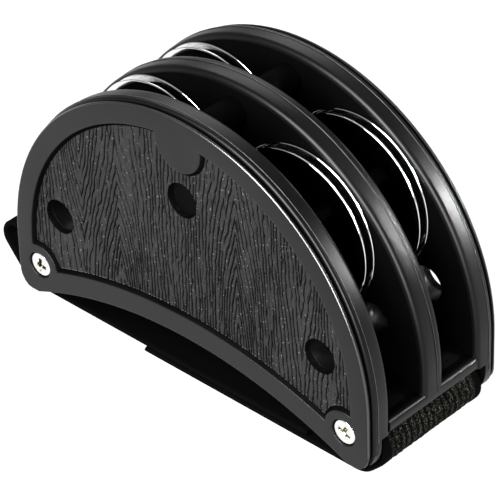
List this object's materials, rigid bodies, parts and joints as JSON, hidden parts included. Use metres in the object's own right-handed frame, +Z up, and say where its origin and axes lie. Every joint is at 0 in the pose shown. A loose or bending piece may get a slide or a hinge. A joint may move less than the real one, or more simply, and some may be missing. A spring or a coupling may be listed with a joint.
{
  "type": "foot tambourine",
  "caption": "D-shaped jingle box that is worn over the shoe on a hook-and-loop strap, with jingle pairs hung on pins in two open bays between wood-grain side covers.",
  "frame": {"origin": "middle of the box's length and depth, on the underside of the strap, which it stands on", "axes": "+X along the length, to the right seen from the front; +Y through the depth, front to back; +Z up"},
  "size_m": [0.1526, 0.0544, 0.0955],
  "materials": {
    "bezel_plastic": "satin black moulding",
    "panel_plastic": "wood-grain emboss",
    "shell_plastic": "semi-gloss black moulding",
    "post_steel": "turned",
    "screw_steel": "bright zinc plate",
    "pin_steel": "drawn wire",
    "jingle_steel": "polished and plated",
    "strap_webbing": "black loop-pile webbing",
    "hook_tape": "hook tape"
  },
  "bodies": {
    "housing": {"front_bezel": "bezel_plastic", "back_bezel": "bezel_plastic", "front_panel": "panel_plastic", "back_panel": "panel_plastic", "front_shell": "shell_plastic", "rear_shell": "shell_plastic", "strap_post_left": "post_steel", "strap_post_right": "post_steel", "screw_front_left": "screw_steel", "screw_front_right": "screw_steel", "screw_back_left": "screw_steel", "screw_back_right": "screw_steel", "tie_screw": "screw_steel", "strap": "strap_webbing", "hook_patch": "hook_tape"},
    "pin_left": {"jingle_pin_left": "pin_steel"},
    "pin_right": {"jingle_pin_right": "pin_steel"},
    "jingle_front_left_a": {"jingle_front_left_a": "jingle_steel"},
    "jingle_front_left_b": {"jingle_front_left_b": "jingle_steel"},
    "jingle_front_right_a": {"jingle_front_right_a": "jingle_steel"},
    "jingle_front_right_b": {"jingle_front_right_b": "jingle_steel"},
    "jingle_back_left_a": {"jingle_back_left_a": "jingle_steel"},
    "jingle_back_left_b": {"jingle_back_left_b": "jingle_steel"},
    "jingle_back_right_a": {"jingle_back_right_a": "jingle_steel"},
    "jingle_back_right_b": {"jingle_back_right_b": "jingle_steel"}
  },
  "joints": [
    {"name": "pin_left_spin", "type": "hinge", "parent": "housing", "child": "pin_left", "pos_m": [-0.0264, 0, 0.0607], "axis": [0, 1, 0], "continuous": true},
    {"name": "jingle_front_left_b_slide", "type": "slide", "parent": "pin_left", "child": "jingle_front_left_b", "axis": [0, 1, 0], "range_m": [-0.0049, 0]},
    {"name": "jingle_front_left_a_slide", "type": "slide", "parent": "jingle_front_left_b", "child": "jingle_front_left_a", "axis": [0, 1, 0], "range_m": [-0.0049, 0]},
    {"name": "jingle_back_left_b_slide", "type": "slide", "parent": "pin_left", "child": "jingle_back_left_b", "axis": [0, 1, 0], "range_m": [-0.0049, 0]},
    {"name": "jingle_back_left_a_slide", "type": "slide", "parent": "jingle_back_left_b", "child": "jingle_back_left_a", "axis": [0, 1, 0], "range_m": [-0.0049, 0]},
    {"name": "pin_right_spin", "type": "hinge", "parent": "housing", "child": "pin_right", "pos_m": [0.0264, 0, 0.0607], "axis": [0, 1, 0], "continuous": true},
    {"name": "jingle_front_right_b_slide", "type": "slide", "parent": "pin_right", "child": "jingle_front_right_b", "axis": [0, 1, 0], "range_m": [-0.0049, 0]},
    {"name": "jingle_front_right_a_slide", "type": "slide", "parent": "jingle_front_right_b", "child": "jingle_front_right_a", "axis": [0, 1, 0], "range_m": [-0.0049, 0]},
    {"name": "jingle_back_right_b_slide", "type": "slide", "parent": "pin_right", "child": "jingle_back_right_b", "axis": [0, 1, 0], "range_m": [-0.0049, 0]},
    {"name": "jingle_back_right_a_slide", "type": "slide", "parent": "jingle_back_right_b", "child": "jingle_back_right_a", "axis": [0, 1, 0], "range_m": [-0.0049, 0]}
  ]
}
